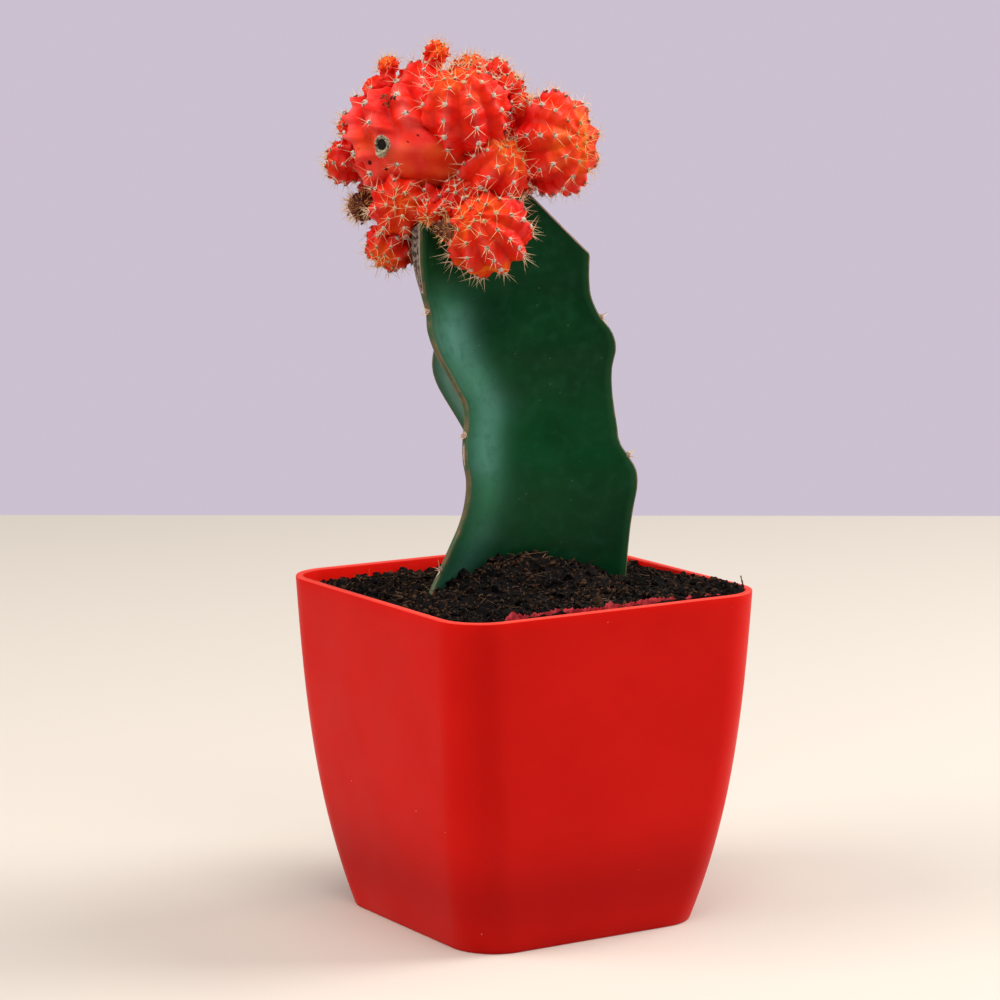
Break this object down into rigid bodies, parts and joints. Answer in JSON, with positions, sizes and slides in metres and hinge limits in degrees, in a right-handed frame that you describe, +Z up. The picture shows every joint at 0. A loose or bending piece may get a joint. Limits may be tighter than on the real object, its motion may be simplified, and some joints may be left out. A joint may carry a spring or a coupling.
{
  "type": "potted moon cactus",
  "caption": "Grafted moon cactus: a red cluster of spiny offsets on a green winged rootstock, standing in potting mix in a square plastic pot.",
  "frame": {"origin": "on the surface that the pot stands on, under the middle of the pot, which is also the bottom centre of the whole part's box", "axes": "+Z up; the pot's flat sides face along +X, -X, +Y and -Y; the rootstock's broad face looks between -X and -Y"},
  "size_m": [0.075, 0.075, 0.186],
  "materials": {
    "pot_plastic": "satin moulded polypropylene, bright red, a paler rim edge",
    "potting_mix": "dark crumbly peat and coir with a few pale fibres",
    "green_skin": "dark green waxy skin, tan corky margins and areoles",
    "red_skin": "fleshy satin red skin with orange growing points, tan areoles and pale spines"
  },
  "bodies": {
    "root": {"pot": "pot_plastic", "soil": "potting_mix", "rootstock": "green_skin", "scion": "red_skin"}
  },
  "joints": []
}
